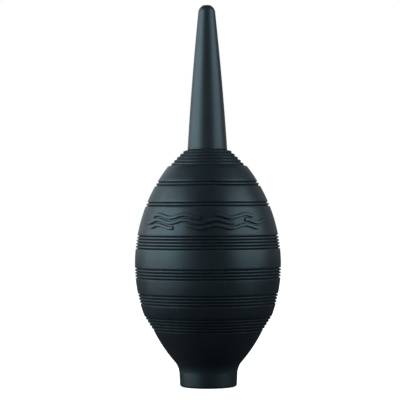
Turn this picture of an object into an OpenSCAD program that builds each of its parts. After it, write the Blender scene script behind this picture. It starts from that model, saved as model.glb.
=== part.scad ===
// Dust blower bulb: a ribbed rubber squeeze bulb that stands on its foot, with a check valve
// and a filter in the foot, and a second check valve under a long push-on nozzle.
// Millimetres. Origin at the centre of the foot's face, +Z up along the axis.

/* [Bulb] */
// Diameter of the bulb at its widest ring
bulb_d = 62; // [58:0.5:66]
// Height of the rubber bulb, from the foot's face to the shoulder
bulb_h = 100.4; // [99:0.1:101]
// Height of the widest ring
waist_z = 51.9; // [51:0.1:53]
// Radius of the arc that draws the upper half
upper_arc = 67.8; // [66:0.1:69]
// Radius of the arc that draws the lower half
lower_arc = 63.2; // [62:0.1:64]
// Thickness of the rubber wall
wall = 3.2; // [2.6:0.1:3.6]

/* [Foot] */
// Diameter of the foot at its face
foot_d = 24.2; // [23.4:0.1:25]
// Outward slope of the foot's side, in degrees
foot_slope = 3; // [0:0.5:5]
// Radius of the hollow curve that leads from the foot into the bulb
foot_fillet = 8; // [5:0.5:10]
// Radius of the foot's lower edge
foot_edge = 1; // [0.4:0.1:1.2]
// Inward step below the lowest ribs
lower_step = 1.3; // [0.8:0.1:1.5]

/* [Ribs] */
// Height from one groove to the next
groove_pitch = 1.3; // [1.2:0.05:1.35]
// Width of a groove at the surface
groove_w = 0.62; // [0.5:0.02:0.66]
// Depth of a groove
groove_depth = 0.65; // [0.4:0.05:0.9]
// Stacked rings on the shoulder
shoulder_rings = 5; // [4:5]

/* [Nozzle] */
// Length of the nozzle
nozzle_h = 61.4; // [56:0.1:64]
// Diameter of the nozzle at its base
nozzle_base_d = 16.9; // [16.4:0.1:17.2]
// Diameter of the nozzle just under its rounded tip
nozzle_tip_d = 7.3; // [6.8:0.1:8]
// Diameter of the jet hole
jet_d = 2.5; // [2:0.1:3]
// Length of the straight jet hole
jet_len = 9; // [6:0.5:12]

/* [Valves] */
// Lift of each valve disc
valve_lift = 1.3; // [0.8:0.1:1.4]
// Bore of the foot, which holds the intake valve
foot_bore_d = 16; // [15.8:0.1:16.2]
// Bore of the mouth, which holds the neck plug
mouth_d = 12; // [11.8:0.1:12.2]

/* [Hidden] */
$fn = 96;

rubber = [0.09, 0.11, 0.13];
nozzle_black = [0.12, 0.14, 0.16];
valve_plastic = [0.80, 0.81, 0.80];
silicone = [0.72, 0.18, 0.12];
felt = [0.90, 0.90, 0.87];

// Clearances
press_gap = 0.03;   // parts pushed into rubber or plastic and left there
slide_gap = 0.05;   // parts pulled off by hand
seat_gap = 0.02;    // a disc on its seat
pin_gap = 0.12;     // a disc round its guide pin
keeper_play = 0.1;  // between a lifted disc and its keeper
keeper_h = 1.4;     // thickness of a keeper
pin_proud = 0.1;    // how far a guide pin stands out of its keeper

// Bulb: heights of the middle of each group of grooves, and how many grooves it has
groove_groups = [[86.0, 2], [77.4, 2], [61.4, 5], [48.3, 4], [37.4, 4]];
lowest_group = [27.0, 5];
bulb_r = bulb_d / 2;
floor_z = 14;            // top of the thick ring round the intake valve
roof_z = 89;             // underside of the thick ring round the neck plug
mouth_land = 2.3;        // width of the flat round the mouth
ring_inset = 0.46;       // how far the lowest shoulder ring stands inside the bulb's arc
ring_taper = 0.1;        // how much further in each ring above it stands
ring_h = 0.78;           // height of one ring's rim
ring_chamfer = 0.12;     // sloping lower edge of the rim
ring_lip = 0.2;          // width of the level edge on top of the rim
shoulder_z = bulb_h - shoulder_rings * groove_pitch;
step_top = lowest_group[0] + lowest_group[1] / 2 * groove_pitch;
step_bottom = lowest_group[0] - lowest_group[1] / 2 * groove_pitch;

// Intake valve, from the foot's face upwards
recess_z = 1.4;          // the cap's face, above the surface that the foot stands on
intake_flange_r = 9.2;
intake_flange_top = 2.8;
flange_seat_r = intake_flange_r + 0.1;
intake_barb_z = 11.9;    // top of the housing's barb
intake_seat_z = 9.0;
intake_web = 1.6;
intake_bore_r = 6.4;
intake_top = 13.9;
intake_disc_r = 5.3;
intake_disc_t = 1.0;
intake_pin_r = 0.9;
intake_ports = 6;
intake_port_r = 1.15;
intake_port_ring = 3.3;  // radius of the circle that the ports stand on
intake_keeper_z = intake_seat_z + intake_disc_t + valve_lift + keeper_play;
cap_flange_r = 7.25;
cap_flange_t = 1.15;
cap_skirt_top = 4.5;
cap_skirt_r = intake_bore_r - press_gap;
cap_skirt_wall = 1.1;
cap_hole_r = 0.6;
cap_hole_pitch = 1.9;    // from one ring of holes to the next
cap_notch = [0.5, 2.2, 0.5];  // notch in the flange for a fingernail: inwards, across and up

// Neck plug and outlet valve
plug_bottom = 88.4;
plug_lead = 1.2;         // height of the tapered end that starts the plug in the mouth
plug_barb_z = 91.8;      // top of the plug's barb
plug_flange_r = 7.3;
plug_flange_t = 1.3;
plug_passage_r = 2.75;
spigot_r = 5.4;
spigot_top = bulb_h + 11.8;
spigot_chamfer = 0.6;
outlet_web_z = bulb_h + 1.8;
outlet_web = 1.4;
outlet_seat_z = outlet_web_z + outlet_web;
outlet_bore_r = 4.3;
outlet_disc_r = 3.5;
outlet_disc_t = 0.9;
outlet_pin_r = 0.6;
outlet_ports = 5;
outlet_port_r = 0.75;
outlet_port_ring = 1.95;
outlet_keeper_z = outlet_seat_z + outlet_disc_t + valve_lift + keeper_play;
barb = 0.45;             // how far a retaining ridge stands out
barb_h = 1.2;
barb_lip = 0.5;          // upright part of the ridge

// Nozzle
nozzle_z = bulb_h + slide_gap;
nozzle_top = nozzle_z + nozzle_h;
nozzle_swell = 0.3;      // outward bow of the nozzle's side
tip_round = 3.6;         // radius of the rounded tip
tip_lip = 0.2;           // chamfer round the jet hole
socket_top = spigot_top + 0.4;
channel_r = 2.8;

// Points on an arc round (cx, cz), from angle a0 to a1
function arc(cx, cz, r, a0, a1, n) =
    [for (i = [0:n]) let (a = a0 + (a1 - a0) * i / n) [cx + r * cos(a), cz + r * sin(a)]];

// Radius of the smooth bulb at height z, with the surface moved in by depth
function body_r(z, depth = 0) =
    let (rho = z > waist_z ? upper_arc : lower_arc)
    bulb_r - rho + sqrt(pow(rho - depth, 2) - pow(z - waist_z, 2));

// The lower part steps inwards over the height of the lowest grooves
function step_in(z) = lower_step * max(0, min(1, (step_top - z) / (step_top - step_bottom)));
function skin_r(z) = body_r(z) - step_in(z);

// Heights of one group's grooves, from the bottom up
function group_z(g) = [for (i = [0:g[1] - 1]) g[0] + (i - (g[1] - 1) / 2) * groove_pitch];
groove_z = [for (g = concat([lowest_group], [for (i = [4:-1:0]) groove_groups[i]])) each group_z(g)];

// The outline across one groove: a flat-bottomed channel with sloping sides
function groove_points(z) = [
    [skin_r(z - groove_w / 2), z - groove_w / 2],
    [skin_r(z) - groove_depth, z - groove_w / 4],
    [skin_r(z) - groove_depth, z + groove_w / 4],
    [skin_r(z + groove_w / 2), z + groove_w / 2]
];

// Smooth stretch of skin between two heights
function skin_points(z0, z1) =
    let (n = max(1, ceil((z1 - z0) / 2)))
    [for (i = [0:n]) let (z = z0 + (z1 - z0) * i / n) [skin_r(z), z]];

// One ring of the shoulder: an upright rim, then a slope up to the foot of the next ring
function ring_points(k) =
    let (z = shoulder_z + k * groove_pitch, r = body_r(z + ring_h) - ring_inset - ring_taper * k)
    [[r - ring_lip / 2, z], [r, z + ring_chamfer], [r, z + ring_h], [r - ring_lip, z + ring_h]];

// The foot's side is a straight line that leans outwards, from the end of the lower edge's arc
side_up = [sin(foot_slope), cos(foot_slope)];
side_out = [cos(foot_slope), -sin(foot_slope)];
side_start = [foot_d / 2 - foot_edge, foot_edge] + foot_edge * side_out;

// The fillet's circle touches that line and the stepped-in lower arc, so its centre lies foot_fillet
// outside the line, and the two radii away from the lower arc's centre
lower_centre = [bulb_r - lower_arc - lower_step, waist_z];
offset_start = side_start + foot_fillet * side_out - lower_centre;
offset_up = offset_start * side_up;
side_length = -offset_up - sqrt(pow(offset_up, 2) - offset_start * offset_start
                                + pow(lower_arc + foot_fillet, 2));
fillet_centre = lower_centre + offset_start + side_length * side_up;
to_lower = lower_centre - fillet_centre;
fillet_end = atan2(to_lower[1], to_lower[0]);
fillet_top = fillet_centre[1] + foot_fillet * sin(fillet_end);

module bulb_outline() {
    last = len(groove_z) - 1;
    edge_in = groove_w / 2 + 0.2;
    polygon(concat(
        [[flange_seat_r, 0]],
        arc(foot_d / 2 - foot_edge, foot_edge, foot_edge, -90, -foot_slope, 6),
        arc(fillet_centre[0], fillet_centre[1], foot_fillet, 180 - foot_slope, fillet_end, 6),
        skin_points(fillet_top + 1, groove_z[0] - edge_in),
        [for (i = [0:last]) each concat(
            groove_points(groove_z[i]),
            i < last && groove_z[i + 1] - groove_z[i] > groove_pitch * 1.5
                ? skin_points(groove_z[i] + edge_in, groove_z[i + 1] - edge_in)
                : [])],
        skin_points(groove_z[last] + edge_in, shoulder_z - ring_chamfer),
        [for (k = [0:shoulder_rings - 1]) each ring_points(k)],
        [[mouth_d / 2 + mouth_land, bulb_h], [mouth_d / 2, bulb_h]],
        mouth_points(),
        cavity_points(),
        foot_bore_points()
    ));
}

// Bore of the mouth, going down, with the groove that holds the plug's barb
function mouth_points() = [
    [mouth_d / 2, plug_barb_z + slide_gap],
    [mouth_d / 2 + barb + slide_gap, plug_barb_z + slide_gap],
    [mouth_d / 2 + barb + slide_gap, plug_barb_z - barb_h - slide_gap],
    [mouth_d / 2, plug_barb_z - barb_h - slide_gap],
    [mouth_d / 2, roof_z]
];

// Air chamber, going down: the bulb's arcs moved in by the wall's thickness
function cavity_points() =
    concat(
        [for (i = [0:12]) let (z = roof_z + (waist_z - roof_z) * i / 12) [body_r(z, wall), z]],
        [for (i = [1:12]) let (z = waist_z + (floor_z - waist_z) * i / 12) [body_r(z, wall), z]]
    );

// Bore of the foot, going down, with the groove for the housing's barb and the flange's counterbore
function foot_bore_points() = [
    [foot_bore_d / 2, floor_z],
    [foot_bore_d / 2, intake_barb_z + slide_gap],
    [foot_bore_d / 2 + barb + slide_gap, intake_barb_z + slide_gap],
    [foot_bore_d / 2 + barb + slide_gap, intake_barb_z - barb_h - slide_gap],
    [foot_bore_d / 2, intake_barb_z - barb_h - slide_gap],
    [foot_bore_d / 2, intake_flange_top],
    [flange_seat_r, intake_flange_top]
];

module bulb() {
    color(rubber) rotate_extrude($fn = 144) bulb_outline();
}

// Round holes through a valve's web, spaced evenly on a circle
module ports(count, r, ring_r, z, h) {
    for (i = [0:count - 1])
        rotate([0, 0, i * 360 / count]) translate([ring_r, 0, z]) cylinder(r = r, h = h);
}

// Loose disc that lies on a seat at z and slides up its guide pin
module valve_disc(r, t, pin_r, z) {
    translate([0, 0, z + seat_gap]) difference() {
        cylinder(r = r, h = t);
        translate([0, 0, -1]) cylinder(r = pin_r + pin_gap, h = t + 2);
    }
}

// Spoked ring that snaps into the valve's bore and stops the disc
module valve_keeper(bore_r, pin_r, z) {
    rim = 0.95;
    spoke = 0.9;
    outer_r = bore_r - press_gap;
    translate([0, 0, z]) {
        difference() {
            cylinder(r = outer_r, h = keeper_h);
            translate([0, 0, -1]) cylinder(r = outer_r - rim, h = keeper_h + 2);
        }
        difference() {
            union() {
                cylinder(r = pin_r + spoke, h = keeper_h);
                for (a = [0, 120, 240])
                    rotate([0, 0, a]) translate([0, -spoke / 2, 0])
                        cube([outer_r - rim / 2, spoke, keeper_h]);
            }
            translate([0, 0, -1]) cylinder(r = pin_r + press_gap, h = keeper_h + 2);
        }
    }
}

// Plastic plug in the bulb's mouth: barbed barrel below, flange, and the nozzle's spigot above
module neck_plug() {
    barrel_r = mouth_d / 2 - press_gap;
    color(valve_plastic) difference() {
        union() {
            rotate_extrude() polygon(concat(
                [[0, plug_bottom], [barrel_r - 0.8, plug_bottom], [barrel_r, plug_bottom + plug_lead]],
                [[barrel_r, plug_barb_z - barb_h], [barrel_r + barb, plug_barb_z - barb_lip],
                 [barrel_r + barb, plug_barb_z], [barrel_r, plug_barb_z]],
                [[barrel_r, bulb_h], [plug_flange_r, bulb_h], [plug_flange_r, bulb_h + plug_flange_t],
                 [spigot_r, bulb_h + plug_flange_t], [spigot_r, spigot_top - spigot_chamfer],
                 [spigot_r - spigot_chamfer, spigot_top], [0, spigot_top]]
            ));
        }
        translate([0, 0, plug_bottom - 1]) cylinder(r = plug_passage_r, h = outlet_web_z - plug_bottom + 1);
        difference() {
            translate([0, 0, outlet_seat_z]) cylinder(r = outlet_bore_r, h = spigot_top);
            cylinder(r = outlet_pin_r, h = outlet_keeper_z + keeper_h + pin_proud);
        }
        ports(outlet_ports, outlet_port_r, outlet_port_ring, outlet_web_z - 1, outlet_web + 2);
    }
}

module outlet_disc() {
    color(silicone) valve_disc(outlet_disc_r, outlet_disc_t, outlet_pin_r, outlet_seat_z);
}

module outlet_keeper() {
    color(valve_plastic) valve_keeper(outlet_bore_r, outlet_pin_r, outlet_keeper_z);
}

// The tip is an arc that ends at the lip of the jet hole. Its centre's radius and height, and the
// nozzle's radius at height z below it
tip_cx = nozzle_tip_d / 2 - tip_round;
tip_turn = acos((jet_d / 2 + tip_lip - tip_cx) / tip_round);
tip_z = nozzle_top - tip_round * sin(tip_turn);
function nozzle_r(z) =
    let (t = (z - nozzle_z) / (tip_z - nozzle_z))
    nozzle_base_d / 2 + (nozzle_tip_d / 2 - nozzle_base_d / 2) * t + nozzle_swell * 4 * t * (1 - t);

// Tapered nozzle: a socket for the spigot, then a channel that narrows to the jet hole
module nozzle() {
    color(nozzle_black) rotate_extrude() polygon(concat(
        [[plug_flange_r + slide_gap, nozzle_z]],
        [for (i = [0:16]) let (z = nozzle_z + (tip_z - nozzle_z) * i / 16) [nozzle_r(z), z]],
        arc(tip_cx, tip_z, tip_round, 8, tip_turn, 8),
        [[jet_d / 2, nozzle_top - 2 * tip_lip], [jet_d / 2, nozzle_top - jet_len],
         [channel_r, socket_top], [spigot_r + slide_gap, socket_top],
         [spigot_r + slide_gap, bulb_h + plug_flange_t + slide_gap],
         [plug_flange_r + slide_gap, bulb_h + plug_flange_t + slide_gap]]
    ));
}

// Plastic housing in the foot: flange and filter cup below, ported web, valve chamber above
module intake_housing() {
    barrel_r = foot_bore_d / 2 - press_gap;
    color(valve_plastic) difference() {
        rotate_extrude() polygon([
            [0, recess_z], [intake_flange_r, recess_z], [intake_flange_r, intake_flange_top],
            [barrel_r, intake_flange_top], [barrel_r, intake_barb_z - barb_h],
            [barrel_r + barb, intake_barb_z - barb_h], [barrel_r + barb, intake_barb_z - barb_h + barb_lip],
            [barrel_r, intake_barb_z], [barrel_r - 0.4, intake_top], [0, intake_top]
        ]);
        translate([0, 0, recess_z - 1]) {
            cylinder(r = intake_bore_r, h = intake_seat_z - intake_web - recess_z + 1);
            cylinder(r = cap_flange_r + slide_gap, h = cap_flange_t + 1 + slide_gap);
        }
        difference() {
            translate([0, 0, intake_seat_z]) cylinder(r = intake_bore_r, h = 10);
            cylinder(r = intake_pin_r, h = intake_keeper_z + keeper_h + pin_proud);
        }
        ports(intake_ports, intake_port_r, intake_port_ring,
              intake_seat_z - intake_web - 1, intake_web + 2);
    }
}

module intake_disc() {
    color(silicone) valve_disc(intake_disc_r, intake_disc_t, intake_pin_r, intake_seat_z);
}

module intake_keeper() {
    color(valve_plastic) valve_keeper(intake_bore_r, intake_pin_r, intake_keeper_z);
}

// Felt disc that cleans the air on its way in
module filter_pad() {
    color(felt) translate([0, 0, cap_skirt_top])
        cylinder(r = intake_bore_r - slide_gap, h = intake_seat_z - intake_web - cap_skirt_top - slide_gap);
}

// Push-in grille that holds the filter pad
module filter_cap() {
    color(nozzle_black) difference() {
        union() {
            translate([0, 0, recess_z]) cylinder(r = cap_flange_r, h = cap_flange_t);
            translate([0, 0, recess_z]) cylinder(r = cap_skirt_r, h = cap_skirt_top - recess_z);
        }
        translate([0, 0, recess_z + cap_flange_t]) cylinder(r = cap_skirt_r - cap_skirt_wall, h = 5);
        translate([0, 0, recess_z - 1]) cylinder(r = cap_hole_r, h = 4);
        ports(6, cap_hole_r, cap_hole_pitch, recess_z - 1, 4);
        ports(12, cap_hole_r, cap_hole_pitch * 2, recess_z - 1, 4);
        translate([cap_flange_r - cap_notch[0], -cap_notch[1] / 2, recess_z - 1])
            cube([2, cap_notch[1], 1 + cap_notch[2]]);
    }
}

bulb();
neck_plug();
outlet_disc();
outlet_keeper();
nozzle();
intake_housing();
intake_disc();
intake_keeper();
filter_pad();
filter_cap();
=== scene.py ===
# %% [markdown]
# # A dust blower bulb
# A watchmaker presses this rubber bulb in one hand to blow dust off a movement. Air goes in through
# a filtered valve in the foot, and out through a second valve and a long tapered nozzle. The sizes,
# the joints and the hidden valve parts come from the CAD frame, which this script loads first.
# Blender then gives each piece that shows its finished mesh and its finish. The CAD solids that show
# are replaced by meshes of the same size with rounded edges, and the rest keep their own shape.

# %% The frame
import math

import bmesh
import bpy
import numpy as np
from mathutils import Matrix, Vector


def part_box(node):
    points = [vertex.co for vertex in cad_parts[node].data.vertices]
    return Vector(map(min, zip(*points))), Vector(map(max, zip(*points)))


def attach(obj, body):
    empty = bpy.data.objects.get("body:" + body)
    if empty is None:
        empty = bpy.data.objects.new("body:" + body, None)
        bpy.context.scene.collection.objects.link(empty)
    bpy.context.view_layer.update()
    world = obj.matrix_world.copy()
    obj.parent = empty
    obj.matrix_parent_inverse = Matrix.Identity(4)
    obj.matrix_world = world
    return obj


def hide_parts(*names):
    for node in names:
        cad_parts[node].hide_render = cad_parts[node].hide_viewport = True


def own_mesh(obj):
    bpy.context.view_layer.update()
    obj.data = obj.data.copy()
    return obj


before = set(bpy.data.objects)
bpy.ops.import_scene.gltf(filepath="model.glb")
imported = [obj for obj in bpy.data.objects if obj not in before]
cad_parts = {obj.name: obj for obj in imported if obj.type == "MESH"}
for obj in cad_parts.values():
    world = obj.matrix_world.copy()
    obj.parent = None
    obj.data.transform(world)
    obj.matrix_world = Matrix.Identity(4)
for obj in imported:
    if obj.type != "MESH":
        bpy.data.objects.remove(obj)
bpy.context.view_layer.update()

MM = 0.001
bulb_low, bulb_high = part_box("bulb")
nozzle_low, nozzle_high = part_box("nozzle")
cap_low, cap_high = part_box("filter_cap")
pad_low, pad_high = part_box("filter_pad")

# %% [markdown]
# ## Small helpers for node trees
# Both geometry and shader trees are built in code here. One helper adds a node, sets its plain
# values and links the sockets that it is given. The other turns a sum into a Math node.

# %% Adding nodes
def add(tree, kind, inputs=None, **settings):
    """A new node. A value in inputs is linked if it is a socket, and set if it is a plain value."""
    made = tree.nodes.new(kind)
    for key, value in settings.items():
        setattr(made, key, value)
    for key, value in (inputs or {}).items():
        if isinstance(value, bpy.types.NodeSocket):
            tree.links.new(value, made.inputs[key])
        else:
            made.inputs[key].default_value = value
    return made


def calc(tree, operation, *values):
    """The output of a Math node."""
    return add(tree, "ShaderNodeMath", dict(enumerate(values)), operation=operation).outputs[0]


def inputs_of(tree, kinds, output_kinds):
    """Gives a tree its named sockets, and returns the outputs of its Group Input node."""
    for in_out, sockets in (("INPUT", kinds), ("OUTPUT", output_kinds)):
        for label, kind in sockets.items():
            tree.interface.new_socket(label, in_out=in_out, socket_type="NodeSocket" + kind)
    return tree.nodes.new("NodeGroupInput").outputs


# %% [markdown]
# ## From a tree to a plain mesh
# A Geometry Nodes modifier is only the workshop. Its inputs are set by their identifiers, the result
# is taken from the evaluated object, and the source object goes, so that each piece ends as a plain
# mesh that stands at the origin with its place in its points.

# %% Running a tree
def run_tree(source, tree, name, values):
    """Runs a Geometry Nodes tree on source, and returns the result as a plain mesh object."""
    modifier = source.modifiers.new(tree.name, "NODES")
    modifier.node_group = tree
    for item in tree.interface.items_tree:
        if item.in_out == "INPUT" and item.name in values:
            modifier[item.identifier] = values[item.name]
    graph = bpy.context.evaluated_depsgraph_get()
    mesh = bpy.data.meshes.new_from_object(source.evaluated_get(graph))
    mesh.name = name
    bpy.data.objects.remove(source)
    piece = bpy.data.objects.new(name, mesh)
    bpy.context.scene.collection.objects.link(piece)
    print(name, "has", len(mesh.polygons), "faces")
    return piece


def mend(piece):
    """Merges doubled points, and turns every face of a closed mesh outwards."""
    work = bmesh.new()
    work.from_mesh(piece.data)
    bmesh.ops.remove_doubles(work, verts=work.verts, dist=0.0005 * MM)
    bmesh.ops.dissolve_degenerate(work, edges=work.edges, dist=0.0001 * MM)
    bmesh.ops.recalc_face_normals(work, faces=work.faces)
    open_edges = sum(1 for edge in work.edges if len(edge.link_faces) != 2)
    work.to_mesh(piece.data)
    work.free()
    print(piece.name, "has", open_edges, "open edges")
    return piece


# %% [markdown]
# ## The lathe
# Almost every piece of the blower is round, so most of them are an outline turned about the axis.
# The Screw modifier could do that. A small tree does it here instead: Curve to Mesh carries the
# outline round a circle, and Set Position then does two things that a moulded piece needs. It crowds
# the steps near the two sides where the mould closed, and it raises the thin parting line there.
# The parting line stands only on skin that faces outwards.

# %% The lathe tree
def make_lathe():
    tree = bpy.data.node_groups.new("Lathe", "GeometryNodeTree")
    sizes = inputs_of(tree, {
        "Outline": "Geometry", "Steps": "Int", "Path Radius": "Float", "Crowding": "Float",
        "Seam Height": "Float", "Seam Width": "Float", "Material": "Material",
    }, {"Geometry": "Geometry"})
    circle = add(tree, "GeometryNodeCurvePrimitiveCircle",
                 {"Resolution": sizes["Steps"], "Radius": sizes["Path Radius"]})
    upright = add(tree, "GeometryNodeSetCurveNormal", {"Curve": circle.outputs[0]}, mode="Z_UP")
    turned = add(tree, "GeometryNodeCurveToMesh",
                 {"Curve": upright.outputs[0], "Profile Curve": sizes["Outline"]})
    place = add(tree, "ShaderNodeSeparateXYZ",
                {0: add(tree, "GeometryNodeInputPosition").outputs[0]}).outputs
    facing = add(tree, "ShaderNodeSeparateXYZ",
                 {0: add(tree, "GeometryNodeInputNormal").outputs[0]}).outputs
    radius = calc(tree, "SQRT", calc(tree, "ADD", calc(tree, "POWER", place[0], 2.0),
                                     calc(tree, "POWER", place[1], 2.0)))
    angle = calc(tree, "ARCTAN2", place[1], place[0])
    swing = calc(tree, "MULTIPLY", calc(tree, "SINE", calc(tree, "MULTIPLY", angle, 2.0)),
                 calc(tree, "MULTIPLY", sizes["Crowding"], 0.5))
    crowded = calc(tree, "SUBTRACT", angle, swing)
    outward = calc(tree, "ADD", calc(tree, "MULTIPLY", place[0], facing[0]),
                   calc(tree, "MULTIPLY", place[1], facing[1]))
    across = calc(tree, "DIVIDE", calc(tree, "MULTIPLY", radius, calc(tree, "SINE", crowded)),
                  sizes["Seam Width"])
    bell = calc(tree, "EXPONENT", calc(tree, "MULTIPLY", calc(tree, "POWER", across, 2.0), -1.0))
    raised = calc(tree, "MULTIPLY", calc(tree, "MULTIPLY", bell, sizes["Seam Height"]),
                  calc(tree, "GREATER_THAN", outward, 0.0))
    reach = calc(tree, "ADD", radius, raised)
    spot = add(tree, "ShaderNodeCombineXYZ", {
        0: calc(tree, "MULTIPLY", reach, calc(tree, "COSINE", crowded)),
        1: calc(tree, "MULTIPLY", reach, calc(tree, "SINE", crowded)), 2: place[2]})
    moved = add(tree, "GeometryNodeSetPosition",
                {"Geometry": turned.outputs[0], "Position": spot.outputs[0]})
    smooth = add(tree, "GeometryNodeSetShadeSmooth", {"Geometry": moved.outputs[0]})
    real = add(tree, "GeometryNodeRealizeInstances", {"Geometry": smooth.outputs[0]})
    done = add(tree, "GeometryNodeSetMaterial",
               {"Geometry": real.outputs[0], "Material": sizes["Material"]})
    tree.links.new(done.outputs[0], tree.nodes.new("NodeGroupOutput").inputs[0])
    return tree


lathe = make_lathe()
PATH_RADIUS = 1.0 * MM
print("the lathe has", len(lathe.nodes), "nodes")

# %% [markdown]
# An outline is a list of (radius, height) points in millimetres. Round corners are worked out from a
# few sharp corners, each with its own rounding, so that an outline can be read like a drawing.

# %% Outlines
def arc(centre_r, centre_z, radius, start, end, count):
    """Points on an arc, with the angles in degrees from the radial direction."""
    angles = np.radians(np.linspace(start, end, count))
    return [(centre_r + radius * math.cos(a), centre_z + radius * math.sin(a)) for a in angles]


def rounded(corners, steps=4):
    """The points of a line through (r, z, rounding) corners, each turned into a small arc."""
    points = [corners[0][:2]]
    for before, corner, after in zip(corners, corners[1:], corners[2:]):
        here = np.array(corner[:2])
        to_before, to_after = np.array(before[:2]) - here, np.array(after[:2]) - here
        room = min(np.linalg.norm(to_before), np.linalg.norm(to_after)) * 0.45
        reach = min(corner[2], room)
        if reach < 0.001:
            points.append(tuple(here))
            continue
        first = here + to_before / np.linalg.norm(to_before) * reach
        last = here + to_after / np.linalg.norm(to_after) * reach
        for t in np.linspace(0, 1, steps + 1):
            points.append(tuple((1 - t) ** 2 * first + 2 * t * (1 - t) * here + t * t * last))
    return points + [corners[-1][:2]]


def turn(name, outline, steps, material, closed=True, crowding=0.0, seam_height=0.0):
    """Turns an outline about the axis on the lathe."""
    curve = bpy.data.curves.new(name + "_outline", "CURVE")
    curve.dimensions = "3D"
    line = curve.splines.new("POLY")
    line.points.add(len(outline) - 1)
    for point, (r, z) in zip(line.points, outline):
        point.co = (r * MM - PATH_RADIUS, -z * MM, 0, 1)
    line.use_cyclic_u = closed
    source = bpy.data.objects.new(name + "_outline", curve)
    bpy.context.scene.collection.objects.link(source)
    return mend(run_tree(source, lathe, name, {
        "Steps": steps, "Path Radius": PATH_RADIUS, "Crowding": crowding,
        "Seam Height": seam_height, "Seam Width": 0.24 * MM, "Material": material,
    }))


# %% [markdown]
# ## Shader groups that several finishes share
# Moulded rubber and plastic are never one flat colour. They carry a fine grain from the mould, faint
# rings from the tool that turned the mould, soft marks from hands, and paler edges where they rub.
# Each of these is one shader group, built once, and every finish places it with its own values.
# The groups read the piece's own coordinates, so a mark stays where it is when the piece moves.

# %% Fine grain
def group(name, inputs, outputs):
    tree = bpy.data.node_groups.new(name, "ShaderNodeTree")
    return tree, inputs_of(tree, inputs, outputs), tree.nodes.new("NodeGroupOutput")


grain, given, ends = group("Fine grain", {"Vector": "Vector", "Scale": "Float"},
                           {"Height": "Float"})
coarse = add(grain, "ShaderNodeTexNoise", {"Vector": given["Vector"], "Scale": given["Scale"],
                                           "Detail": 3.0, "Roughness": 0.6})
pits = add(grain, "ShaderNodeTexVoronoi", {"Vector": given["Vector"],
                                           "Scale": calc(grain, "MULTIPLY", given["Scale"], 1.7)})
grain.links.new(calc(grain, "ADD", calc(grain, "MULTIPLY", coarse.outputs[0], 0.6),
                     calc(grain, "MULTIPLY", pits.outputs[0], 0.4)), ends.inputs["Height"])

# %% Rings left by the mould
rings, given, ends = group("Mould rings", {"Vector": "Vector", "Lines": "Float"},
                           {"Height": "Float"})
squeezed = add(rings, "ShaderNodeVectorMath", {0: given["Vector"], 1: (0.035, 0.035, 1.0)},
               operation="MULTIPLY")
fine = add(rings, "ShaderNodeTexNoise", {"Vector": squeezed.outputs[0], "Scale": given["Lines"],
                                         "Detail": 4.0, "Roughness": 0.7})
rings.links.new(fine.outputs[0], ends.inputs["Height"])

# %% Marks from handling
marks, given, ends = group("Handling marks", {"Vector": "Vector", "Scale": "Float"},
                           {"Mask": "Float"})
cloud = add(marks, "ShaderNodeTexNoise", {"Vector": given["Vector"], "Scale": given["Scale"],
                                          "Detail": 5.0, "Roughness": 0.55, "Distortion": 0.4})
soft = add(marks, "ShaderNodeMapRange", {"Value": cloud.outputs[0], "From Min": 0.35,
                                         "From Max": 0.70})
marks.links.new(soft.outputs[0], ends.inputs["Mask"])

# %% Paler worn edges
worn, given, ends = group("Worn edge", {"Edge": "Float", "Vector": "Vector"}, {"Mask": "Float"})
broken = add(worn, "ShaderNodeTexNoise", {"Vector": given["Vector"], "Scale": 420.0, "Detail": 4.0})
patchy = add(worn, "ShaderNodeMapRange", {"Value": broken.outputs[0], "From Min": 0.38,
                                          "From Max": 0.62})
worn.links.new(calc(worn, "MULTIPLY", given["Edge"], patchy.outputs[0]), ends.inputs["Mask"])
print("shader groups:", [g.name for g in (grain, rings, marks, worn)])

# %% [markdown]
# ## Putting a finish together
# A finish starts as a Principled BSDF with plain values on its own sockets. Two colours are mixed by
# the marks, and a Bump node takes the grain and the rings together. Only what changes over the
# surface is linked.

# %% A moulded finish
def mix_colour(tree, share, first, second):
    """Mixes two colours. Each is a socket or three numbers."""
    mix = add(tree, "ShaderNodeMix", {0: share}, data_type="RGBA")
    for socket, colour in ((mix.inputs[6], first), (mix.inputs[7], second)):
        if isinstance(colour, bpy.types.NodeSocket):
            tree.links.new(colour, socket)
        else:
            socket.default_value = (*colour, 1.0)
    return mix.outputs[2]


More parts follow.
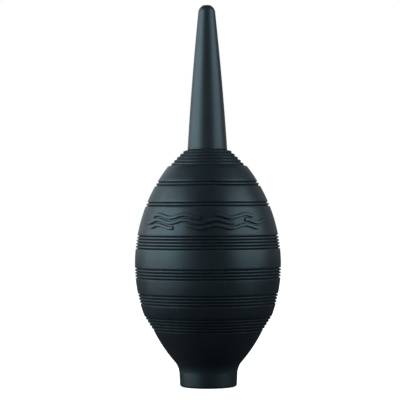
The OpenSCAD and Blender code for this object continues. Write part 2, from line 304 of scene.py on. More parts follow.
# The last two settings belong to the painted shade in grooves and at the feet of raised bars: its
# darker colour and the roughness added there.
def moulded(name, dark, pale, roughness, spread, grain_scale, relief,
            ring_lines=0.0, ring_share=0.0, tint=(1.0, 1.0, 1.0), edge_colour=None,
            painted_shade_colour=(0.002, 0.003, 0.004), sunk_roughness=0.45):
    """A moulded finish: two close colours, a roughness that varies by spread, a relief in mm.

    With an edge colour, the mesh also says where it is worn, and where it gets painted shade, darker
    and rougher, in a groove or at the foot of a raised bar."""
    material = bpy.data.materials.new(name)
    material.use_nodes = True
    tree = material.node_tree
    shader = tree.nodes["Principled BSDF"]
    shader.inputs["Specular Tint"].default_value = (*tint, 1.0)
    own = add(tree, "ShaderNodeTexCoord").outputs["Object"]

    def use(group_tree, **values):
        return add(tree, "ShaderNodeGroup", {"Vector": own, **values},
                   node_tree=group_tree).outputs[0]

    smudge = use(marks, Scale=38.0)
    colour = mix_colour(tree, smudge, dark, pale)
    rough = calc(tree, "MULTIPLY_ADD", smudge, spread, roughness - spread / 2)
    if edge_colour:
        edge = add(tree, "ShaderNodeAttribute", attribute_name="edge").outputs["Fac"]
        # The second attribute is painted shade: in grooves and where a bar meets the skin it darkens
        # the colour and raises the roughness.
        painted_shade = add(tree, "ShaderNodeAttribute", attribute_name="painted_shade").outputs["Fac"]
        colour = mix_colour(tree, use(worn, Edge=edge), colour, edge_colour)
        colour = mix_colour(tree, painted_shade, colour, painted_shade_colour)
        rough = calc(tree, "MULTIPLY_ADD", painted_shade, sunk_roughness, rough)
    tree.links.new(colour, shader.inputs["Base Color"])
    tree.links.new(rough, shader.inputs["Roughness"])
    height = use(grain, Scale=grain_scale)
    if ring_share:
        lines = use(rings, Lines=ring_lines)
        height = calc(tree, "MULTIPLY_ADD", lines, ring_share,
                      calc(tree, "MULTIPLY", height, 1.0 - ring_share))
    bump = add(tree, "ShaderNodeBump", {"Height": height, "Distance": relief * MM})
    tree.links.new(bump.outputs[0], shader.inputs["Normal"])
    return material


# %% The finishes
COOL = (0.62, 0.90, 1.0)
black_rubber = moulded("black_rubber", (0.0105, 0.0140, 0.0175), (0.0140, 0.0185, 0.0225),
                       roughness=0.40, spread=0.10, grain_scale=2600.0, relief=0.030,
                       ring_lines=1500.0, ring_share=0.75, tint=COOL,
                       edge_colour=(0.022, 0.027, 0.031))
black_plastic = moulded("black_plastic", (0.019, 0.024, 0.028), (0.025, 0.031, 0.035),
                        roughness=0.40, spread=0.08, grain_scale=2300.0, relief=0.028,
                        ring_lines=900.0, ring_share=0.30, tint=COOL)
grille_plastic = moulded("grille_plastic", (0.013, 0.015, 0.017), (0.019, 0.021, 0.023),
                         roughness=0.48, spread=0.12, grain_scale=3600.0, relief=0.025)
white_plastic = moulded("white_plastic", (0.60, 0.61, 0.59), (0.68, 0.69, 0.67),
                        roughness=0.42, spread=0.10, grain_scale=2400.0, relief=0.010)
red_silicone = moulded("red_silicone", (0.42, 0.060, 0.035), (0.50, 0.085, 0.050),
                       roughness=0.38, spread=0.12, grain_scale=1800.0, relief=0.012)
print("finishes:", [m.name for m in bpy.data.materials if m.use_nodes])

# %% [markdown]
# Felt isn't moulded. It is a mat of fibres pressed together, so its finish has no gloss: long thin
# noise in two crossing directions stands for the fibres, and a little sheen for their loose ends.

# %% The felt
def make_felt():
    material = bpy.data.materials.new("white_felt")
    material.use_nodes = True
    tree = material.node_tree
    shader = tree.nodes["Principled BSDF"]
    shader.inputs["Roughness"].default_value = 0.95
    shader.inputs["Sheen Weight"].default_value = 0.3
    own = add(tree, "ShaderNodeTexCoord").outputs["Object"]
    fibres = []
    for stretch in ((1.0, 0.12, 1.0), (0.15, 1.0, 1.0)):
        drawn = add(tree, "ShaderNodeVectorMath", {0: own, 1: stretch}, operation="MULTIPLY")
        fibres.append(add(tree, "ShaderNodeTexNoise", {
            "Vector": drawn.outputs[0], "Scale": 3800.0, "Detail": 3.0,
            "Distortion": 1.5}).outputs[0])
    mat = calc(tree, "MAXIMUM", *fibres)
    tree.links.new(mix_colour(tree, mat, (0.42, 0.42, 0.39), (0.86, 0.86, 0.82)),
                   shader.inputs["Base Color"])
    bump = add(tree, "ShaderNodeBump", {"Height": mat, "Distance": 0.12 * MM})
    tree.links.new(bump.outputs[0], shader.inputs["Normal"])
    return material


white_felt = make_felt()

# %% [markdown]
# ## The rubber bulb
# The bulb is one moulding, egg-shaped and hollow. Two arcs draw its side, one above its widest ring
# and one below it. Groups of fine grooves give the fingers a grip, and above them the shoulder steps
# in as a stack of rings. The outline is worked out from those rules. A groove is cut with a smooth
# step, so that its edges are round, as rubber edges are, and the points stand close together only
# where the outline turns quickly.

# %% The bulb's side
BULB_R = round(bulb_high.x / MM, 1)
BULB_H = round(bulb_high.z / MM, 1)
WAIST_Z = 51.9
UPPER_ARC, LOWER_ARC = 67.8, 63.2
LOWER_STEP = 1.3
GROOVE_PITCH, GROOVE_W, GROOVE_DEPTH = 1.3, 0.62, 0.65
WALL = 3.2
GROOVE_GROUPS = ((27.0, 5), (37.4, 4), (48.3, 4), (61.4, 5), (77.4, 2), (86.0, 2))
groove_heights = [middle + (i - (count - 1) / 2) * GROOVE_PITCH
                  for middle, count in GROOVE_GROUPS for i in range(count)]
step_top = GROOVE_GROUPS[0][0] + GROOVE_GROUPS[0][1] / 2 * GROOVE_PITCH
step_low = GROOVE_GROUPS[0][0] - GROOVE_GROUPS[0][1] / 2 * GROOVE_PITCH


def body_radius(z, depth=0.0):
    """Radius of the egg at height z, with its surface moved in by depth."""
    curve = UPPER_ARC if z > WAIST_Z else LOWER_ARC
    return BULB_R - curve + math.sqrt((curve - depth) ** 2 - (z - WAIST_Z) ** 2)


def smooth_step(t):
    t = min(1.0, max(0.0, t))
    return t * t * (3 - 2 * t)


def skin_radius(z):
    """The egg, with its lower part stepped in."""
    return body_radius(z) - LOWER_STEP * min(1.0, max(0.0, (step_top - z) / (step_top - step_low)))


GROOVE_FLAT, GROOVE_SIDE = 0.50, 0.75


def groove_share(z):
    """1 in the flat bottom of a groove, 0 on the skin. Both parts are shares of half its width."""
    nearest = min(abs(z - height) for height in groove_heights)
    return 1.0 - smooth_step((nearest / (GROOVE_W / 2) - GROOVE_FLAT) / GROOVE_SIDE)


print("grooves:", len(groove_heights), "on a bulb", 2 * BULB_R, "mm across and", BULB_H, "mm high")

# %% [markdown]
# The foot is short and plain. Its side leans outwards a little, its lower edge is rounded, and a
# hollow curve leads from it into the egg. That curve touches both the foot's side and the lower arc,
# so its centre lies one fillet radius outside the side, and both radii away from the arc's centre.

# %% The foot and the shoulder
FOOT_R, FOOT_SLOPE, FOOT_EDGE, FOOT_FILLET = 12.1, 3.0, 1.0, 8.0
side_up = np.array([math.sin(math.radians(FOOT_SLOPE)), math.cos(math.radians(FOOT_SLOPE))])
side_out = np.array([side_up[1], -side_up[0]])
side_start = np.array([FOOT_R - FOOT_EDGE, FOOT_EDGE]) + FOOT_EDGE * side_out
lower_centre = np.array([BULB_R - LOWER_ARC - LOWER_STEP, WAIST_Z])
offset = side_start + FOOT_FILLET * side_out - lower_centre
side_length = -offset @ side_up - math.sqrt((offset @ side_up) ** 2 - offset @ offset
                                            + (LOWER_ARC + FOOT_FILLET) ** 2)
fillet_centre = lower_centre + offset + side_length * side_up
to_lower = lower_centre - fillet_centre
fillet_end = math.degrees(math.atan2(to_lower[1], to_lower[0]))
print("the foot's side is", round(float(side_length), 1), "mm long")
SHOULDER_RINGS, RING_H, RING_LIP, RING_CHAMFER = 5, 0.78, 0.20, 0.12
RING_INSET, RING_TAPER = 0.46, 0.10
shoulder_z = BULB_H - SHOULDER_RINGS * GROOVE_PITCH


def side_heights(low, high):
    """Heights along the side: about 1 mm apart on smooth skin, much closer in a groove."""
    offsets = (-0.42, -0.36, -0.30, -0.24, -0.18, -0.08, 0.08, 0.18, 0.24, 0.30, 0.36, 0.42)
    plain = [z for z in np.linspace(low, high, int((high - low) / 1.1) + 1)
             if min(abs(z - g) for g in groove_heights) > 0.6]
    return sorted(plain + [g + o for g in groove_heights for o in offsets])


def shoulder_corners():
    """The stack of rings, as sharp corners with a rounding each."""
    corners = []
    for k in range(SHOULDER_RINGS):
        low = shoulder_z + k * GROOVE_PITCH
        rim = body_radius(low + RING_H) - RING_INSET - RING_TAPER * k
        corners += [(rim - RING_LIP / 2, low, 0.08), (rim, low + RING_CHAMFER, 0.12),
                    (rim, low + RING_H, 0.16), (rim - RING_LIP, low + RING_H + 0.02, 0.10)]
    return corners


BORE_R, MOUTH_R, MOUTH_LAND, FLANGE_R, FLANGE_TOP = 8.0, 6.0, 2.3, 9.3, 2.8
CAVITY_LOW, CAVITY_HIGH = 14.0, 89.0


def bulb_outline():
    foot = arc(FOOT_R - FOOT_EDGE, FOOT_EDGE, FOOT_EDGE, -90, -FOOT_SLOPE, 9)
    hollow = arc(*fillet_centre, FOOT_FILLET, 180 - FOOT_SLOPE, fillet_end, 12)
    side = [(skin_radius(z) - GROOVE_DEPTH * groove_share(z), z)
            for z in side_heights(hollow[-1][1] + 0.8, shoulder_z - 0.5)]
    top = rounded([side[-1] + (0,)] + shoulder_corners()
                  + [(MOUTH_R + MOUTH_LAND, BULB_H, 0.15), (MOUTH_R, BULB_H, 0.2),
                     (MOUTH_R, CAVITY_HIGH, 0.3)])
    cavity = [(body_radius(z, WALL), z) for z in np.linspace(CAVITY_HIGH, CAVITY_LOW, 26)]
    seat = rounded([(body_radius(CAVITY_LOW, WALL), CAVITY_LOW, 0), (BORE_R, CAVITY_LOW, 0.3),
                    (BORE_R, FLANGE_TOP, 0.1), (FLANGE_R, FLANGE_TOP, 0.1), (FLANGE_R, 0, 0.25),
                    (FOOT_R - FOOT_EDGE, 0, 0)])
    return foot + hollow + side + top[1:] + cavity + seat[1:-1]


outline = bulb_outline()
print("the bulb's outline has", len(outline), "points")

# %% Turning the bulb
bulb = turn("bulb_skin", outline, 180, black_rubber, crowding=0.8, seam_height=0.07 * MM)

# %% [markdown]
# Rubber goes grey first where it is touched most, on the crests between the grooves and on the rims
# of the shoulder's rings. In the grooves and on the slopes of the shoulder's rings the rubber gets
# painted shade: a darker colour, and a higher roughness that makes it duller. Two values are stored
# on the mesh for that, one for the worn crests and one for the painted shade, from how far each
# point of the outer skin stands out, and the rubber's finish reads them.

# %% Edges that wear, and painted shade in the grooves
def mark(piece, label, share_at):
    """Stores share_at(radius, height) on each point of the piece, as the attribute label."""
    points = np.empty(len(piece.data.vertices) * 3, np.float32)
    piece.data.vertices.foreach_get("co", points)
    share = np.array([share_at(math.hypot(x, y), z) for x, y, z in points.reshape(-1, 3) / MM])
    layer = piece.data.attributes.new(label, "FLOAT", "POINT")
    layer.data.foreach_set("value", share.astype(np.float32))
    print(piece.name, "has", int((share > 0.5).sum()), "points with", label)


RIB_REACH = LOWER_STEP + 0.9
GROOVE_REACH = 0.66
shoulder_start = shoulder_z - 0.3


def on_ribs(radius, z):
    """Whether a point is on the ribbed part of the outer skin."""
    return step_low - 1 < z < BULB_H and radius > body_radius(z) - RIB_REACH


def rim_share(radius, z):
    """1 on the rim of a shoulder ring, 0 at the foot of the slope above it."""
    return smooth_step((radius - body_radius(z) + 1.0) / 0.6)


def crest_wear(radius, z):
    """The wear on crests, which is on the skin close to a groove and on the shoulder's rims."""
    if not on_ribs(radius, z):
        return 0.0
    if z > shoulder_start:
        return rim_share(radius, z)
    near_groove = min(abs(z - g) for g in groove_heights) < GROOVE_REACH
    return 1.0 - groove_share(z) if near_groove else 0.0


def groove_shade_and_dullness(radius, z):
    """Painted shade, darker and duller: full in a groove, and less on the shoulder's slopes."""
    if not on_ribs(radius, z):
        return 0.0
    return 0.6 * (1.0 - rim_share(radius, z)) if z > shoulder_start else groove_share(z)


mark(bulb, "edge", crest_wear)
# The grooves and the shoulder's slopes get painted shade, darker and duller.
mark(bulb, "painted_shade", groove_shade_and_dullness)

# %% [markdown]
# ## The raised motif
# The widest plain band of the bulb's upper half carries a raised device. This one is a plain drawing
# of moving air: lines of different lengths in three rows, all with the same slow wave and with thin
# ends. The lines are drawn flat, along the band and up it, and a tree sweeps a small bar with
# rounded edges along them and wraps the result round the egg. The wrap uses the same arc as the
# bulb's side, so the bars sink into the skin by half their height everywhere.

# %% The wrapping tree
def make_wrap():
    tree = bpy.data.node_groups.new("Relief on the bulb", "GeometryNodeTree")
    sizes = inputs_of(tree, {
        "Lines": "Geometry", "Bar Width": "Float", "Bar Height": "Float", "Rounding": "Float",
        "Band Height": "Float", "Waist Height": "Float", "Arc Radius": "Float",
        "Bulb Radius": "Float", "Material": "Material",
    }, {"Geometry": "Geometry"})
    bar = add(tree, "GeometryNodeCurvePrimitiveQuadrilateral",
              {"Width": sizes["Bar Width"], "Height": sizes["Bar Height"]})
    soft_bar = add(tree, "GeometryNodeFilletCurve",
                   {"Curve": bar.outputs[0], "Radius": sizes["Rounding"], "Count": 3},
                   mode="POLY")
    even = add(tree, "GeometryNodeResampleCurve",
               {"Curve": sizes["Lines"], "Length": 0.35 * MM}, mode="LENGTH")
    along = add(tree, "GeometryNodeSplineParameter").outputs["Factor"]
    swelling = add(tree, "ShaderNodeMapRange", {"Value": along, "From Max": 0.14, "To Min": 0.25},
                   interpolation_type="SMOOTHSTEP").outputs[0]
    fading = add(tree, "ShaderNodeMapRange", {"Value": along, "From Min": 1.0, "From Max": 0.86,
                                              "To Min": 0.25},
                 interpolation_type="SMOOTHSTEP").outputs[0]
    sized = add(tree, "GeometryNodeSetCurveRadius", {
        "Curve": even.outputs[0], "Radius": calc(tree, "MULTIPLY", swelling, fading)})
    upright = add(tree, "GeometryNodeSetCurveNormal", {"Curve": sized.outputs[0]}, mode="Z_UP")
    swept = add(tree, "GeometryNodeCurveToMesh", {
        "Curve": upright.outputs[0], "Profile Curve": soft_bar.outputs[0], "Fill Caps": True})
    flat = add(tree, "ShaderNodeSeparateXYZ",
               {0: add(tree, "GeometryNodeInputPosition").outputs[0]}).outputs
    height = calc(tree, "ADD", flat[1], sizes["Band Height"])
    above = calc(tree, "SUBTRACT", height, sizes["Waist Height"])
    chord = calc(tree, "SQRT", calc(tree, "SUBTRACT", calc(tree, "POWER", sizes["Arc Radius"], 2.0),
                                    calc(tree, "POWER", above, 2.0)))
    skin = calc(tree, "ADD", chord, calc(tree, "SUBTRACT", sizes["Bulb Radius"],
                                         sizes["Arc Radius"]))
    radius = calc(tree, "ADD", skin, flat[2])
    angle = calc(tree, "DIVIDE", flat[0], skin)
    spot = add(tree, "ShaderNodeCombineXYZ", {
        0: calc(tree, "MULTIPLY", radius, calc(tree, "SINE", angle)),
        1: calc(tree, "MULTIPLY", calc(tree, "MULTIPLY", radius, calc(tree, "COSINE", angle)),
                -1.0),
        2: height})
    wrapped = add(tree, "GeometryNodeSetPosition",
                  {"Geometry": swept.outputs[0], "Position": spot.outputs[0]})
    smooth = add(tree, "GeometryNodeSetShadeSmooth", {"Geometry": wrapped.outputs[0]})
    real = add(tree, "GeometryNodeRealizeInstances", {"Geometry": smooth.outputs[0]})
    done = add(tree, "GeometryNodeSetMaterial",
               {"Geometry": real.outputs[0], "Material": sizes["Material"]})
    tree.links.new(done.outputs[0], tree.nodes.new("NodeGroupOutput").inputs[0])
    return tree


wrap = make_wrap()

# %% Drawing the lines of air
ROWS = ((2.15, ((-26, -3), (3, 20))), (0.0, ((-31, 11), (16, 27))), (-2.15, ((-27, -15), (-9, 23))))
WAVE_HEIGHT, WAVE_LENGTH = 0.65, 13.0


def gust(start, end, height):
    """A line along the band at a height, with a slow wave."""
    return [(u, height + WAVE_HEIGHT * math.sin(2 * math.pi * u / WAVE_LENGTH))
            for u in np.linspace(start, end, int(end - start) * 3)]


GUSTS = [gust(start, end, height) for height, lines in ROWS for start, end in lines]
curve = bpy.data.curves.new("gust_lines", "CURVE")
curve.dimensions = "3D"
for gust_points in GUSTS:
    line = curve.splines.new("POLY")
    line.points.add(len(gust_points) - 1)
    for point, (u, v) in zip(line.points, gust_points):
        point.co = (u * MM, v * MM, 0, 1)
source = bpy.data.objects.new("gust_lines", curve)
bpy.context.scene.collection.objects.link(source)
motif = mend(run_tree(source, wrap, "bulb_motif", {
    "Bar Width": 1.50 * MM, "Bar Height": 1.40 * MM, "Rounding": 0.38 * MM,
    "Band Height": 70.4 * MM, "Waist Height": WAIST_Z * MM, "Arc Radius": UPPER_ARC * MM,
    "Bulb Radius": BULB_R * MM, "Material": black_rubber}))
mark(motif, "edge", lambda radius, z: smooth_step((radius - body_radius(z) - 0.3) / 0.3))
# Where each bar meets the skin the rubber gets painted shade, darker and duller.
mark(motif, "painted_shade", lambda radius, z: smooth_step((0.3 - radius + body_radius(z)) / 0.3))

# %% [markdown]
# ## The nozzle
# The nozzle is a long cone that swells slightly in the middle, with a round tip. Below, it is a
# socket that slides over the plug's spigot, and inside, a channel narrows to the jet hole. It is one
# outline on the same lathe, with a fainter parting line than the rubber's.

# %% Turning the nozzle
base_z, top_z = nozzle_low.z / MM, nozzle_high.z / MM
BASE_R, TIP_R, TIP_ROUND, SWELL, JET_R, TIP_LIP = 8.45, 3.65, 3.6, 0.30, 1.25, 0.2
JET_LENGTH, CHANNEL_R = 9.0, 2.8
SPIGOT_SOCKET_R, SPIGOT_SOCKET_TOP = 5.45, 112.6
FLANGE_SOCKET_R, FLANGE_SOCKET_TOP = 7.35, 101.75
tip_turn = math.acos((JET_R + TIP_LIP - TIP_R + TIP_ROUND) / TIP_ROUND)
tip_start = top_z - TIP_ROUND * math.sin(tip_turn)


def nozzle_radius(z):
    t = (z - base_z) / (tip_start - base_z)
    return BASE_R + (TIP_R - BASE_R) * t + SWELL * 4 * t * (1 - t)


def nozzle_outline():
    foot = rounded([(FLANGE_SOCKET_R, base_z, 0), (BASE_R, base_z, 0.25),
                    (nozzle_radius(base_z + 1.5), base_z + 1.5, 0)])
    side = [(nozzle_radius(z), z) for z in np.linspace(base_z + 3, tip_start, 30)]
    tip = arc(TIP_R - TIP_ROUND, tip_start, TIP_ROUND, 6, math.degrees(tip_turn), 14)
    inside = rounded([
        tip[-1] + (0,), (JET_R, top_z - 2 * TIP_LIP, 0.15), (JET_R, top_z - JET_LENGTH, 0.5),
        (CHANNEL_R, SPIGOT_SOCKET_TOP, 0.2), (SPIGOT_SOCKET_R, SPIGOT_SOCKET_TOP, 0.1),
        (SPIGOT_SOCKET_R, FLANGE_SOCKET_TOP, 0.1), (FLANGE_SOCKET_R, FLANGE_SOCKET_TOP, 0.1),
        (FLANGE_SOCKET_R, base_z, 0)])
    return foot + side + tip + inside[1:-1]


nozzle = turn("nozzle_tube", nozzle_outline(), 144, black_plastic, crowding=0.8,
              seam_height=0.035 * MM)

# %% [markdown]
# ## The grille in the foot
# The filter cap is a shallow cup that pushes into the intake housing, with rings of holes for the
# air. Holes repeat, so a tree makes them: points on circles carry a cutter, and a boolean takes the
# cutters out of the turned cup. The cutter flares at its outer end, so each hole has a small
# countersink, which catches the light as a moulded hole's does. A last cutter takes a shallow notch
# out of the flange, where a fingernail lifts the cap.

# %% The perforating tree
def make_perforate():
    tree = bpy.data.node_groups.new("Perforate", "GeometryNodeTree")
    sizes = inputs_of(tree, {
        "Cup": "Geometry", "Inner Holes": "Int", "Outer Holes": "Int", "Hole Radius": "Float",
        "Flare": "Float", "Pitch": "Float", "Face Height": "Float", "Depth": "Float",
        "Notch Size": "Vector", "Notch Radius": "Float", "Material": "Material",
    }, {"Geometry": "Geometry"})
    drill = add(tree, "GeometryNodeMeshCylinder", {
        "Vertices": 24, "Radius": sizes["Hole Radius"], "Depth": sizes["Depth"]})
    flare = add(tree, "GeometryNodeMeshCone", {
        "Vertices": 24, "Radius Top": calc(tree, "MULTIPLY", sizes["Hole Radius"], 0.8),
        "Radius Bottom": calc(tree, "ADD", sizes["Hole Radius"],
                              calc(tree, "MULTIPLY", sizes["Flare"], 2.0)),
        "Depth": calc(tree, "MULTIPLY", sizes["Flare"], 2.0)})
    lowered = add(tree, "GeometryNodeTransform", {
        "Geometry": flare.outputs[0],
        "Translation": add(tree, "ShaderNodeCombineXYZ", {
            2: calc(tree, "MULTIPLY", sizes["Flare"], -1.0)}).outputs[0]})
    rings_of_points = add(tree, "GeometryNodeJoinGeometry")
    for count, distance in (("Inner Holes", 1.0), ("Outer Holes", 2.0)):
        circle = add(tree, "GeometryNodeMeshCircle", {
            "Vertices": sizes[count], "Radius": calc(tree, "MULTIPLY", sizes["Pitch"], distance)})
        tree.links.new(circle.outputs[0], rings_of_points.inputs[0])
    lift = add(tree, "ShaderNodeCombineXYZ", {2: sizes["Face Height"]}).outputs[0]
    level = add(tree, "GeometryNodeSetPosition",
                {"Geometry": rings_of_points.outputs[0], "Offset": lift})
    cutters = []
    for cutter in (drill, lowered):
        placed = add(tree, "GeometryNodeInstanceOnPoints",
                     {"Points": level.outputs[0], "Instance": cutter.outputs[0]})
        cutters.append(add(tree, "GeometryNodeRealizeInstances", {"Geometry": placed.outputs[0]}))
    block = add(tree, "GeometryNodeMeshCube", {"Size": sizes["Notch Size"]})
    cutters.append(add(tree, "GeometryNodeTransform", {
        "Geometry": block.outputs[0],
        "Translation": add(tree, "ShaderNodeCombineXYZ", {
            0: sizes["Notch Radius"], 2: sizes["Face Height"]}).outputs[0]}))
    cup = sizes["Cup"]
    for solid in cutters:
        cut = add(tree, "GeometryNodeMeshBoolean", operation="DIFFERENCE", solver="MANIFOLD")
        tree.links.new(cup, cut.inputs[0])
        tree.links.new(solid.outputs[0], cut.inputs[1])
        cup = cut.outputs[0]
    real = add(tree, "GeometryNodeRealizeInstances", {"Geometry": cup})
    done = add(tree, "GeometryNodeSetMaterial",
               {"Geometry": real.outputs[0], "Material": sizes["Material"]})
    tree.links.new(done.outputs[0], tree.nodes.new("NodeGroupOutput").inputs[0])
    return tree


perforate = make_perforate()

# %% Making the grille
cap_face, cap_top, cap_r = cap_low.z / MM, cap_high.z / MM, cap_high.x / MM
SKIRT_R, SKIRT_WALL, CAP_PLATE = 6.37, 1.1, 1.15
cap_outline = rounded([
    (0.6, cap_face + 0.6, 0), (0.6, cap_face, 0.15),
    (5.0, cap_face, 0.1), (5.25, cap_face + 0.25, 0.1),
    (5.75, cap_face + 0.25, 0.1), (6.0, cap_face, 0.1), (cap_r, cap_face, 0.3),
    (cap_r, cap_face + CAP_PLATE, 0.15), (SKIRT_R, cap_face + CAP_PLATE, 0.1),
    (SKIRT_R, cap_top, 0.2),
    (SKIRT_R - SKIRT_WALL, cap_top, 0.2), (SKIRT_R - SKIRT_WALL, cap_face + CAP_PLATE, 0.2),
    (0.6, cap_face + CAP_PLATE, 0.1), (0.6, cap_face + 0.6, 0)])[:-1]
cup = turn("filter_cup", cap_outline, 96, grille_plastic)
cap = mend(run_tree(cup, perforate, "filter_grille", {
    "Inner Holes": 6, "Outer Holes": 12, "Hole Radius": 0.6 * MM, "Flare": 0.15 * MM,
    "Pitch": 1.9 * MM, "Face Height": cap_face * MM, "Depth": 4.0 * MM,
    "Notch Size": (2.0 * MM, 2.2 * MM, 1.0 * MM), "Notch Radius": (cap_r + 0.5) * MM,
    "Material": grille_plastic}))
for polygon in cap.data.polygons:
    polygon.use_smooth = True
cap.data.set_sharp_from_angle(angle=math.radians(38))

# %% [markdown]
# ## The felt pad
# The pad behind the grille is a soft disc. Only its face shows, through the holes. A tree with a
# seeded noise makes that face uneven, because cut felt is never level.

# %% The felt tree
def make_rough():
    tree = bpy.data.node_groups.new("Uneven felt", "GeometryNodeTree")
    sizes = inputs_of(tree, {"Disc": "Geometry", "Unevenness": "Float", "Seed": "Float",
                             "Material": "Material"}, {"Geometry": "Geometry"})
    fine_disc = add(tree, "GeometryNodeSubdivideMesh", {"Mesh": sizes["Disc"], "Level": 1})
    noise = add(tree, "ShaderNodeTexNoise", {"W": sizes["Seed"], "Scale": 1400.0, "Detail": 3.0},
                noise_dimensions="4D")
    depth = calc(tree, "MULTIPLY", noise.outputs[0], sizes["Unevenness"])
    inward = add(tree, "ShaderNodeVectorMath", {
        0: add(tree, "GeometryNodeInputNormal").outputs[0]}, operation="SCALE")
    tree.links.new(calc(tree, "MULTIPLY", depth, -1.0), inward.inputs["Scale"])
    moved = add(tree, "GeometryNodeSetPosition",
                {"Geometry": fine_disc.outputs[0], "Offset": inward.outputs[0]})
    real = add(tree, "GeometryNodeRealizeInstances", {"Geometry": moved.outputs[0]})
    done = add(tree, "GeometryNodeSetMaterial",
               {"Geometry": real.outputs[0], "Material": sizes["Material"]})
    tree.links.new(done.outputs[0], tree.nodes.new("NodeGroupOutput").inputs[0])
    return tree


pad_r = pad_high.x / MM
pad_outline = [(r, pad_low.z / MM) for r in np.linspace(0, pad_r - 0.5, 16)]
pad_outline += rounded([(pad_r - 0.4, pad_low.z / MM, 0), (pad_r, pad_low.z / MM, 0.4),
                        (pad_r, pad_high.z / MM, 0.4), (0, pad_high.z / MM, 0)])
disc = turn("felt_disc", pad_outline, 72, white_felt, closed=False)
pad = mend(run_tree(disc, make_rough(), "felt_pad", {
    "Unevenness": 0.18 * MM, "Seed": 3.0, "Material": white_felt}))

# %% [markdown]
# ## Finishes for the CAD pieces
# The valves' own plastic and silicone parts have the right shape already, so they stay as the frame
# made them, and only their material slots change.

# %% Painting the CAD pieces
for node_name, finish in (("neck_plug", white_plastic), ("outlet_keeper", white_plastic),
                          ("intake_housing", white_plastic), ("intake_keeper", white_plastic),
                          ("outlet_disc", red_silicone), ("intake_disc", red_silicone)):
    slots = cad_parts[node_name].material_slots
    for place in slots:
        place.material = finish
    print(node_name, "has", len(slots), "slot with", finish.name)

# %% [markdown]
# ## What moves with what
# Each piece rides on the body that it belongs to, and the CAD solid that it stands for is hidden.
# The rubber bulb and its motif each get a mesh of their own. When the bulb is pressed, the neck goes
# down by 20 mm.

# %% Bodies and stand-ins
for piece, body, node_name, slot in (
        (bulb, "bulb", "bulb", "bulb_rubber"), (motif, "bulb", None, "bulb_rubber"),
        (nozzle, "nozzle", "nozzle", "nozzle_plastic"),
        (cap, "filter_cap", "filter_cap", "cap_plastic"),
        (pad, "filter_cap", "filter_pad", "filter_felt")):
    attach(piece, body)
    if node_name:
        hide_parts(node_name)
for piece in (bulb, motif):
    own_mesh(piece)

# %% [markdown]
# ## Floor, light and camera
# The blower stands on a plain white floor against white. A wide soft box stands on each side, the
# left one stronger, as for a shiny dark object: each draws one long soft highlight down the rubber,
# and the dark gap between them shows the shape. Below each box a weak one stands for the light that
# a table sends back. The boxes start at the height of the table, so that the lower half of the egg,
# which faces down, stays dark. Two boxes behind the blower give its outline a paler rim, and the
# little light that comes from all round is fainter from below. The floor glows a little and sends
# no light up itself.

# %% The floor
def make_floor():
    mesh = bpy.data.meshes.new("floor")
    side, front, back = 16.0, -4.0, 30.0
    mesh.from_pydata([(-side, front, 0), (side, front, 0), (side, back, 0), (-side, back, 0)],
                     [], [(0, 1, 2, 3)])
    floor = bpy.data.objects.new("floor", mesh)
    bpy.context.scene.collection.objects.link(floor)
    material = bpy.data.materials.new("floor_white")
    material.use_nodes = True
    shader = material.node_tree.nodes["Principled BSDF"]
    shader.inputs["Base Color"].default_value = (0.86, 0.86, 0.86, 1.0)
    shader.inputs["Roughness"].default_value = 0.8
    shader.inputs["Emission Color"].default_value = (1.0, 1.0, 1.0, 1.0)
    shader.inputs["Emission Strength"].default_value = 0.95
    mesh.materials.append(material)
    floor.visible_diffuse = False
    floor.visible_glossy = False
    floor.visible_shadow = False


make_floor()

# %% The soft boxes
LIGHT_COLOUR = (0.86, 0.95, 1.0)


def soft_box(name, azimuth, distance, middle_z, width, height, radiance):
    """An area light at an azimuth from the camera's side, to the right, aimed level at the axis."""
    light = bpy.data.lights.new(name, "AREA")
    light.shape = "RECTANGLE"
    light.size, light.size_y = width, height
    light.energy = radiance * math.pi * width * height
    light.color = LIGHT_COLOUR
    lamp = bpy.data.objects.new(name, light)
    turn_to = math.radians(azimuth)
    lamp.location = (distance * math.sin(turn_to), -distance * math.cos(turn_to), middle_z)
    lamp.rotation_euler = (math.radians(90), 0, turn_to)
    lamp.visible_camera = False
    bpy.context.scene.collection.objects.link(lamp)
    print(name, "radiance", radiance)


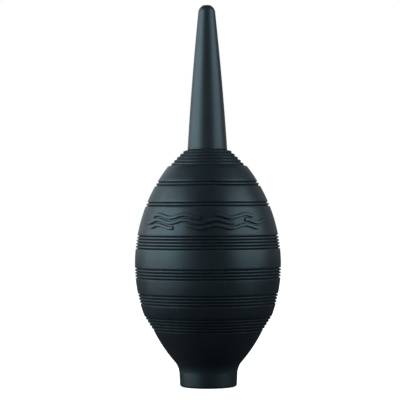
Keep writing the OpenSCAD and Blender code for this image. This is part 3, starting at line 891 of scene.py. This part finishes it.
for box in (("left_box", -79, 0.70, 0.375, 1.12, 0.60, 3.1),
            ("left_heart", -66, 0.69, 0.375, 0.27, 0.60, 1.7),
            ("right_box", 70, 0.70, 0.43, 0.74, 0.70, 2.8),
            ("left_bounce", -75, 0.70, -0.05, 1.05, 0.25, 1.30),
            ("right_bounce", 66, 0.70, -0.05, 0.50, 0.25, 0.46),
            ("backdrop_left", -153, 1.00, 0.54, 1.00, 0.94, 0.75),
            ("backdrop_right", 153, 1.00, 0.54, 1.00, 0.94, 0.25)):
    soft_box(*box)

# %% The surroundings
world = bpy.data.worlds.new("white_room")
bpy.context.scene.world = world
world.use_nodes = True
room = world.node_tree
dim = room.nodes["Background"]
dim.inputs["Color"].default_value = (0.80, 0.95, 1.0, 1.0)
towards = add(room, "ShaderNodeNewGeometry").outputs["Incoming"]
rise = add(room, "ShaderNodeSeparateXYZ", {0: towards}).outputs[2]
fainter_below = add(room, "ShaderNodeMapRange", {
    "Value": rise, "From Min": 0.5, "From Max": -0.1, "To Min": 0.025, "To Max": 0.07})
room.links.new(fainter_below.outputs[0], dim.inputs["Strength"])
white = add(room, "ShaderNodeBackground", {"Color": (1.0, 1.0, 1.0, 1.0), "Strength": 1.0})
seen = add(room, "ShaderNodeLightPath").outputs["Is Camera Ray"]
both = add(room, "ShaderNodeMixShader", {0: seen, 1: dim.outputs[0], 2: white.outputs[0]})
room.links.new(both.outputs[0], room.nodes["World Output"].inputs["Surface"])
bpy.context.scene.view_settings.view_transform = "Standard"

# %% The camera
camera_data = bpy.data.cameras.new("camera")
camera = bpy.data.objects.new("camera", camera_data)
bpy.context.scene.collection.objects.link(camera)
camera_data.sensor_width = 36.0
camera_data.lens = 157.9
camera_data.clip_start, camera_data.clip_end = 0.01, 100.0
EYE_Z, AWAY, ASIDE = 76.4, 745.3, -3.25
TILT, ROLL = 0.21, 0.27
camera.location = (ASIDE * MM, -AWAY * MM, EYE_Z * MM)
camera.rotation_euler = (math.radians(90 + TILT), math.radians(ROLL), 0)
bpy.context.scene.camera = camera
